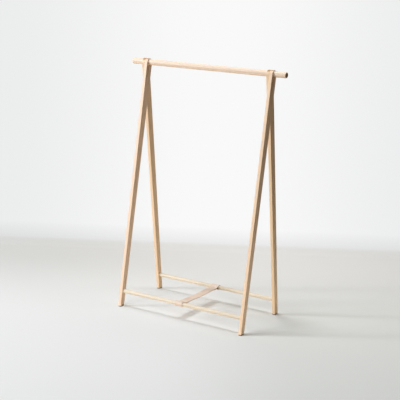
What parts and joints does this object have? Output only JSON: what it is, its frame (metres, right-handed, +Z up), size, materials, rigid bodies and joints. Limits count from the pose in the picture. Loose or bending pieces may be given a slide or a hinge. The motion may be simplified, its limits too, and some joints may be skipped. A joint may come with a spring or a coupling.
{
  "type": "clothes rack",
  "caption": "Folding wooden clothes rack: tapered ladder frames cross under a round hanging rail and a leather strap between the low stretchers limits how far they open.",
  "frame": {"origin": "on the floor, at the middle of the rack under the hanging rail's axis", "axes": "+X along the hanging rail to the right, +Y from the front frame's feet to the rear frame's feet, +Z up"},
  "size_m": [1.06, 0.495, 1.522],
  "materials": {
    "rail_maple": "turned and oiled pale maple, satin",
    "leg_maple": "planed, sanded and oiled pale maple, satin",
    "stretcher_maple": "turned and oiled pale maple, satin",
    "pin_maple": "end grain of a maple pin, satin",
    "strap_leather": "undyed vegetable-tanned leather with sewn ends",
    "foot_felt": "pressed wool felt"
  },
  "bodies": {
    "front_frame": {"hanging_rail": "rail_maple", "front_left_leg": "leg_maple", "front_right_leg": "leg_maple", "front_stretcher": "stretcher_maple", "leather_strap": "strap_leather", "left_rail_pin": "pin_maple", "right_rail_pin": "pin_maple", "front_left_foot_pad": "foot_felt", "front_right_foot_pad": "foot_felt"},
    "rear_frame": {"rear_left_leg": "leg_maple", "rear_right_leg": "leg_maple", "rear_stretcher": "stretcher_maple", "rear_left_foot_pad": "foot_felt", "rear_right_foot_pad": "foot_felt"}
  },
  "joints": [
    {"name": "frame_fold", "type": "hinge", "parent": "front_frame", "child": "rear_frame", "pos_m": [0, 0, 1.5], "axis": [-1, 0, 0], "range_deg": [0, 15.9], "deforming": ["leather_strap"]}
  ]
}
